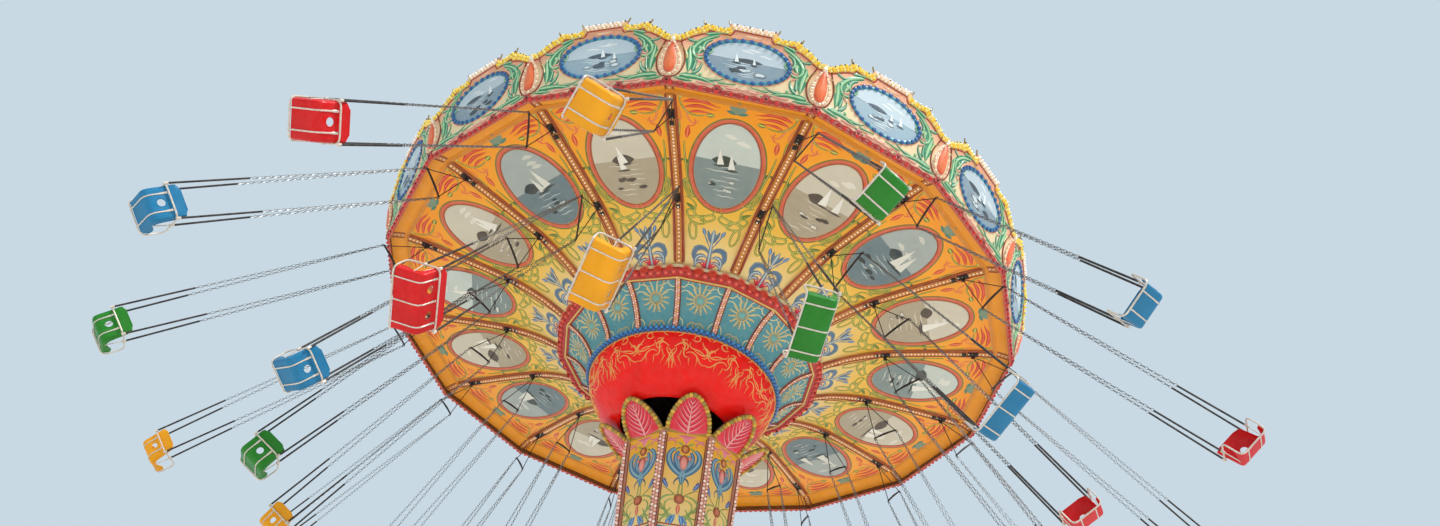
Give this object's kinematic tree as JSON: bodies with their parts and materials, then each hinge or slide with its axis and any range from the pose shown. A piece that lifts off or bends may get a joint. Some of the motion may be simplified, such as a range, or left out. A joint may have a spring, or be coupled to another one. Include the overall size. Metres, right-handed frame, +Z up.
{
  "type": "chair swing ride",
  "caption": "Fairground chair swing ride: an octagonal tower carries a leaning, turning canopy with painted ceiling, crown and cornice, and two rings of chairs on long hangers, flung out.",
  "frame": {"origin": "the middle of the base platform, on the ground", "axes": "+Z up along the tower; -Y towards the front, where the picture was taken from; the canopy axis leans towards azimuth 53 degrees"},
  "size_m": [17.2325, 16.7051, 14.6863],
  "materials": {
    "platform_boards": "matt",
    "plinth_paint": "satin",
    "tower_panels": "painted with scrolls, satin",
    "light_strips": "bulbs on painted strips",
    "leaf_paint": "painted moulding",
    "mast_steel": "satin",
    "frame_timber": "stained",
    "roof_cover": "coated canvas",
    "ceiling_paint": "painted with scrolls, satin",
    "rib_paint": "satin",
    "crown_paint": "satin",
    "bowl_gloss": "high gloss",
    "cornice_paint": "painted with scrolls, satin",
    "chair_yellow": "glossy moulding",
    "chair_green": "glossy moulding",
    "chair_blue": "glossy moulding",
    "chair_red": "glossy moulding"
  },
  "bodies": {
    "tower": {"base_platform": "platform_boards", "base_plinth": "plinth_paint", "lower_cladding": "tower_panels", "lower_corner_strips": "light_strips", "waist_collar": "plinth_paint", "upper_cladding": "tower_panels", "upper_corner_strips": "light_strips", "leaf_crown": "leaf_paint", "inner_mast": "mast_steel"},
    "tilt_joint": {"tilt_collar": "mast_steel"},
    "canopy": {"rotor_hub": "mast_steel", "sweep_frame": "frame_timber", "roof_shell": "roof_cover", "roof_cap": "plinth_paint", "ceiling_panels": "ceiling_paint", "ceiling_ribs": "rib_paint", "soffit_boards": "frame_timber", "crown_ring": "rib_paint", "crown_panels": "crown_paint", "crown_strips": "light_strips", "bowl": "bowl_gloss", "cornice_boards": "cornice_paint"},
    "outer_01": {"outer_chair_01": "chair_yellow"},
    "outer_02": {"outer_chair_02": "chair_green"},
    "outer_03": {"outer_chair_03": "chair_blue"},
    "outer_04": {"outer_chair_04": "chair_red"},
    "outer_05": {"outer_chair_05": "chair_yellow"},
    "outer_06": {"outer_chair_06": "chair_green"},
    "outer_07": {"outer_chair_07": "chair_blue"},
    "outer_08": {"outer_chair_08": "chair_red"},
    "outer_09": {"outer_chair_09": "chair_yellow"},
    "outer_10": {"outer_chair_10": "chair_green"},
    "outer_11": {"outer_chair_11": "chair_blue"},
    "outer_12": {"outer_chair_12": "chair_red"},
    "outer_13": {"outer_chair_13": "chair_yellow"},
    "outer_14": {"outer_chair_14": "chair_green"},
    "outer_15": {"outer_chair_15": "chair_blue"},
    "outer_16": {"outer_chair_16": "chair_red"},
    "inner_01": {"inner_bench_01": "chair_yellow"},
    "inner_02": {"inner_bench_02": "chair_green"},
    "inner_03": {"inner_bench_03": "chair_blue"},
    "inner_04": {"inner_chair_04": "chair_red"},
    "inner_05": {"inner_chair_05": "chair_yellow"},
    "inner_06": {"inner_chair_06": "chair_green"},
    "inner_07": {"inner_chair_07": "chair_blue"},
    "inner_08": {"inner_bench_08": "chair_red"},
    "inner_09": {"inner_bench_09": "chair_yellow"},
    "inner_10": {"inner_bench_10": "chair_green"},
    "inner_11": {"inner_bench_11": "chair_blue"},
    "inner_12": {"inner_chair_12": "chair_red"},
    "inner_13": {"inner_chair_13": "chair_yellow"},
    "inner_14": {"inner_chair_14": "chair_green"},
    "inner_15": {"inner_chair_15": "chair_blue"},
    "inner_16": {"inner_bench_16": "chair_red"}
  },
  "joints": [
    {"name": "tilt_turn", "type": "hinge", "parent": "tower", "child": "tilt_joint", "pos_m": [0, 0, 13.9], "axis": [0, 0, 1], "continuous": true},
    {"name": "canopy_turn", "type": "hinge", "parent": "tilt_joint", "child": "canopy", "pos_m": [0, 0, 13.9], "axis": [0.0598, 0.0793, 0.9951], "continuous": true},
    {"name": "outer_01_swing", "type": "hinge", "parent": "canopy", "child": "outer_01", "pos_m": [-1.34971, -4.72357, 12.84614], "axis": [-0.9645, 0.2639, 0], "range_deg": [-43, 6]},
    {"name": "outer_02_swing", "type": "hinge", "parent": "canopy", "child": "outer_02", "pos_m": [0.51289, -4.86294, 12.74536], "axis": [-0.9973, -0.074, 0], "range_deg": [-39, 5.45]},
    {"name": "outer_03_swing", "type": "hinge", "parent": "canopy", "child": "outer_03", "pos_m": [2.28373, -4.28014, 12.59253], "axis": [-0.8686, -0.4955, 0], "range_deg": [-42, 5.87]},
    {"name": "outer_04_swing", "type": "hinge", "parent": "canopy", "child": "outer_04", "pos_m": [3.6932, -3.06388, 12.41092], "axis": [-0.5863, -0.8101, 0], "range_deg": [-44, 6.14]},
    {"name": "outer_05_swing", "type": "hinge", "parent": "canopy", "child": "outer_05", "pos_m": [4.52672, -1.39934, 12.22816], "axis": [-0.2334, -0.9724, 0], "range_deg": [-45, 6.28]},
    {"name": "outer_06_swing", "type": "hinge", "parent": "canopy", "child": "outer_06", "pos_m": [4.65741, 0.46007, 12.07209], "axis": [0.1557, -0.9878, 0], "range_deg": [-46, 6.42]},
    {"name": "outer_07_swing", "type": "hinge", "parent": "canopy", "child": "outer_07", "pos_m": [4.06537, 2.23129, 11.96646], "axis": [0.5224, -0.8527, 0], "range_deg": [-46, 6.42]},
    {"name": "outer_08_swing", "type": "hinge", "parent": "canopy", "child": "outer_08", "pos_m": [2.84072, 3.64464, 11.92736], "axis": [0.81, -0.5864, 0], "range_deg": [-46, 6.42]},
    {"name": "outer_09_swing", "type": "hinge", "parent": "canopy", "child": "outer_09", "pos_m": [1.16992, 4.48497, 11.96073], "axis": [0.9732, -0.2301, 0], "range_deg": [-46, 6.42]},
    {"name": "outer_10_swing", "type": "hinge", "parent": "canopy", "child": "outer_10", "pos_m": [-0.69269, 4.62435, 12.06151], "axis": [0.9841, 0.1778, 0], "range_deg": [-47, 6.56]},
    {"name": "outer_11_swing", "type": "hinge", "parent": "canopy", "child": "outer_11", "pos_m": [-2.46352, 4.04154, 12.21434], "axis": [0.8319, 0.5549, 0], "range_deg": [-48, 6.7]},
    {"name": "outer_12_swing", "type": "hinge", "parent": "canopy", "child": "outer_12", "pos_m": [-3.87299, 2.82529, 12.39596], "axis": [0.5431, 0.8397, 0], "range_deg": [-49, 6.84]},
    {"name": "outer_13_swing", "type": "hinge", "parent": "canopy", "child": "outer_13", "pos_m": [-4.70652, 1.16075, 12.57871], "axis": [0.1822, 0.9833, 0], "range_deg": [-50, 6.98]},
    {"name": "outer_14_swing", "type": "hinge", "parent": "canopy", "child": "outer_14", "pos_m": [-4.83721, -0.69867, 12.73479], "axis": [-0.1901, 0.9818, 0], "range_deg": [-50, 6.98]},
    {"name": "outer_15_swing", "type": "hinge", "parent": "canopy", "child": "outer_15", "pos_m": [-4.24516, -2.46988, 12.84042], "axis": [-0.5519, 0.8339, 0], "range_deg": [-48, 6.7]},
    {"name": "outer_16_swing", "type": "hinge", "parent": "canopy", "child": "outer_16", "pos_m": [-3.02052, -3.88324, 12.87952], "axis": [-0.7996, 0.6005, 0], "range_deg": [-46, 6.42]},
    {"name": "inner_01_swing", "type": "hinge", "parent": "canopy", "child": "inner_01", "pos_m": [-0.97426, -3.3286, 12.54757], "axis": [-0.9547, 0.2974, 0], "range_deg": [-37, 5.17]},
    {"name": "inner_02_swing", "type": "hinge", "parent": "canopy", "child": "inner_02", "pos_m": [0.31876, -3.42535, 12.47761], "axis": [-0.9973, -0.074, 0], "range_deg": [-35, 4.89]},
    {"name": "inner_03_swing", "type": "hinge", "parent": "canopy", "child": "inner_03", "pos_m": [1.54807, -3.02077, 12.37152], "axis": [-0.8598, -0.5106, 0], "range_deg": [-36, 5.03]},
    {"name": "inner_04_swing", "type": "hinge", "parent": "canopy", "child": "inner_04", "pos_m": [2.52653, -2.17644, 12.24544], "axis": [-0.5721, -0.8202, 0], "range_deg": [-35, 4.89]},
    {"name": "inner_05_swing", "type": "hinge", "parent": "canopy", "child": "inner_05", "pos_m": [3.10516, -1.02091, 12.11857], "axis": [-0.2334, -0.9724, 0], "range_deg": [-35, 4.89]},
    {"name": "inner_06_swing", "type": "hinge", "parent": "canopy", "child": "inner_06", "pos_m": [3.19589, 0.26989, 12.01022], "axis": [0.1384, -0.9904, 0], "range_deg": [-35, 4.89]},
    {"name": "inner_07_swing", "type": "hinge", "parent": "canopy", "child": "inner_07", "pos_m": [2.78489, 1.49947, 11.9369], "axis": [0.5075, -0.8617, 0], "range_deg": [-35, 4.89]},
    {"name": "inner_08_swing", "type": "hinge", "parent": "canopy", "child": "inner_08", "pos_m": [1.93474, 2.48063, 11.90975], "axis": [0.7996, -0.6005, 0], "range_deg": [-35, 4.89]},
    {"name": "inner_09_swing", "type": "hinge", "parent": "canopy", "child": "inner_09", "pos_m": [0.77486, 3.06398, 11.93292], "axis": [0.969, -0.247, 0], "range_deg": [-35, 4.89]},
    {"name": "inner_10_swing", "type": "hinge", "parent": "canopy", "child": "inner_10", "pos_m": [-0.51816, 3.16074, 12.00288], "axis": [0.9897, 0.1434, 0], "range_deg": [-35, 4.89]},
    {"name": "inner_11_swing", "type": "hinge", "parent": "canopy", "child": "inner_11", "pos_m": [-1.74747, 2.75615, 12.10898], "axis": [0.8686, 0.4955, 0], "range_deg": [-36, 5.03]},
    {"name": "inner_12_swing", "type": "hinge", "parent": "canopy", "child": "inner_12", "pos_m": [-2.72593, 1.91183, 12.23506], "axis": [0.6142, 0.7891, 0], "range_deg": [-36, 5.03]},
    {"name": "inner_13_swing", "type": "hinge", "parent": "canopy", "child": "inner_13", "pos_m": [-3.30456, 0.7563, 12.36193], "axis": [0.2672, 0.9636, 0], "range_deg": [-36, 5.03]},
    {"name": "inner_14_swing", "type": "hinge", "parent": "canopy", "child": "inner_14", "pos_m": [-3.39529, -0.53451, 12.47027], "axis": [-0.1211, 0.9926, 0], "range_deg": [-33, 4.61]},
    {"name": "inner_15_swing", "type": "hinge", "parent": "canopy", "child": "inner_15", "pos_m": [-2.98429, -1.76408, 12.5436], "axis": [-0.5224, 0.8527, 0], "range_deg": [-34, 4.75]},
    {"name": "inner_16_swing", "type": "hinge", "parent": "canopy", "child": "inner_16", "pos_m": [-2.13414, -2.74524, 12.57074], "axis": [-0.7996, 0.6005, 0], "range_deg": [-36, 5.03]}
  ],
  "couplings": [
    {"joint": "outer_02_swing", "follows": "outer_01_swing", "ratio": 0.90698},
    {"joint": "outer_03_swing", "follows": "outer_01_swing", "ratio": 0.97674},
    {"joint": "outer_04_swing", "follows": "outer_01_swing", "ratio": 1.0233},
    {"joint": "outer_05_swing", "follows": "outer_01_swing", "ratio": 1.0465},
    {"joint": "outer_06_swing", "follows": "outer_01_swing", "ratio": 1.0698},
    {"joint": "outer_07_swing", "follows": "outer_01_swing", "ratio": 1.0698},
    {"joint": "outer_08_swing", "follows": "outer_01_swing", "ratio": 1.0698},
    {"joint": "outer_09_swing", "follows": "outer_01_swing", "ratio": 1.0698},
    {"joint": "outer_10_swing", "follows": "outer_01_swing", "ratio": 1.093},
    {"joint": "outer_11_swing", "follows": "outer_01_swing", "ratio": 1.1163},
    {"joint": "outer_12_swing", "follows": "outer_01_swing", "ratio": 1.1395},
    {"joint": "outer_13_swing", "follows": "outer_01_swing", "ratio": 1.1628},
    {"joint": "outer_14_swing", "follows": "outer_01_swing", "ratio": 1.1628},
    {"joint": "outer_15_swing", "follows": "outer_01_swing", "ratio": 1.1163},
    {"joint": "outer_16_swing", "follows": "outer_01_swing", "ratio": 1.0698},
    {"joint": "inner_01_swing", "follows": "outer_01_swing", "ratio": 0.86047},
    {"joint": "inner_02_swing", "follows": "outer_01_swing", "ratio": 0.81395},
    {"joint": "inner_03_swing", "follows": "outer_01_swing", "ratio": 0.83721},
    {"joint": "inner_04_swing", "follows": "outer_01_swing", "ratio": 0.81395},
    {"joint": "inner_05_swing", "follows": "outer_01_swing", "ratio": 0.81395},
    {"joint": "inner_06_swing", "follows": "outer_01_swing", "ratio": 0.81395},
    {"joint": "inner_07_swing", "follows": "outer_01_swing", "ratio": 0.81395},
    {"joint": "inner_08_swing", "follows": "outer_01_swing", "ratio": 0.81395},
    {"joint": "inner_09_swing", "follows": "outer_01_swing", "ratio": 0.81395},
    {"joint": "inner_10_swing", "follows": "outer_01_swing", "ratio": 0.81395},
    {"joint": "inner_11_swing", "follows": "outer_01_swing", "ratio": 0.83721},
    {"joint": "inner_12_swing", "follows": "outer_01_swing", "ratio": 0.83721},
    {"joint": "inner_13_swing", "follows": "outer_01_swing", "ratio": 0.83721},
    {"joint": "inner_14_swing", "follows": "outer_01_swing", "ratio": 0.76744},
    {"joint": "inner_15_swing", "follows": "outer_01_swing", "ratio": 0.7907},
    {"joint": "inner_16_swing", "follows": "outer_01_swing", "ratio": 0.83721}
  ]
}
